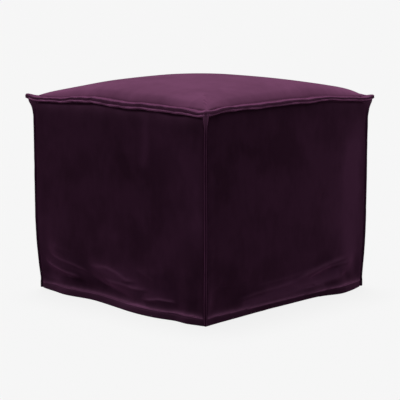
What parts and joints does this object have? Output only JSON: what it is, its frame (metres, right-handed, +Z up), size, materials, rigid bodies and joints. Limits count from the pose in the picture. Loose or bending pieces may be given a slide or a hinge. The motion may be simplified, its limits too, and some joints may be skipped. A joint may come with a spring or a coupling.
{
  "type": "cube pouf stool",
  "caption": "Filled velvet cube pouf with a crowned top, a stitched edge round it, corner welts, and a soft hem with slack folds along the floor.",
  "frame": {"origin": "on the floor, at the middle of the pouf's outline seen from above", "axes": "+Z up, towards the crowned top; -Y is the front side and +X the right side, the two sides that the picture shows"},
  "size_m": [0.52, 0.5239, 0.4589],
  "materials": {
    "velvet_body": "deep plum cotton velvet with a soft pale sheen at grazing angles",
    "velvet_edge": "the same velvet, turned double and topstitched",
    "velvet_welt": "the same velvet, turned double at the corner seams"
  },
  "bodies": {
    "root": {"pouf_body": "velvet_body", "top_edge_front": "velvet_edge", "top_edge_right": "velvet_edge", "top_edge_back": "velvet_edge", "top_edge_left": "velvet_edge", "corner_welt_front_left": "velvet_welt", "corner_welt_front_right": "velvet_welt", "corner_welt_back_right": "velvet_welt", "corner_welt_back_left": "velvet_welt"}
  },
  "joints": []
}
